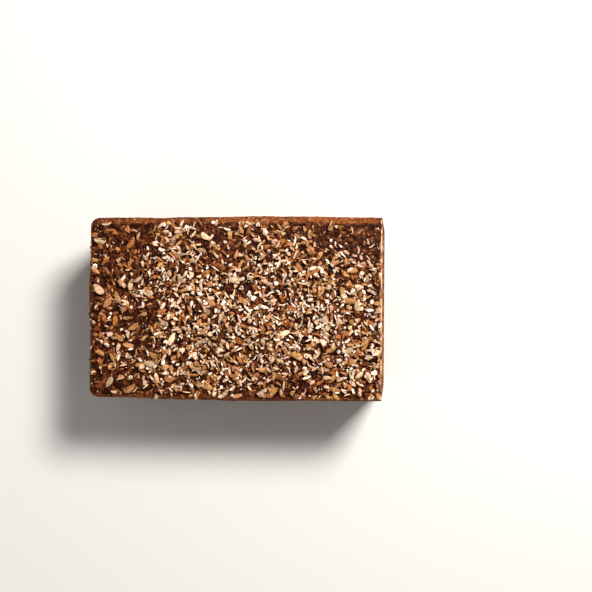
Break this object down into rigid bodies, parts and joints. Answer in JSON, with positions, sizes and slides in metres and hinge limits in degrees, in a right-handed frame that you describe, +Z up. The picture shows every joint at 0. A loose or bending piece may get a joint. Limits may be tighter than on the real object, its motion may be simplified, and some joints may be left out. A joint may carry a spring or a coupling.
{
  "type": "tin loaf",
  "caption": "Dark rye loaf baked in a tin: block with outward-leaning walls, low crowned seeded top and one flat end where it was sliced.",
  "frame": {"origin": "middle of the loaf's footprint box, on the surface that it stands on", "axes": "+X along the loaf towards the cut face, +Y across it, +Z up to the seeded top"},
  "size_m": [0.173, 0.1054, 0.067],
  "materials": {
    "crust": "dry matt brown crust, orange-brown where the tin touched it and darker on the base",
    "crumb": "moist, coarse, open mahogany crumb with dark pores",
    "grain_topping": "toasted cracked grain, husk slivers, bran and sunflower kernels, cream to tan"
  },
  "bodies": {
    "root": {"loaf": "crust"}
  },
  "joints": []
}
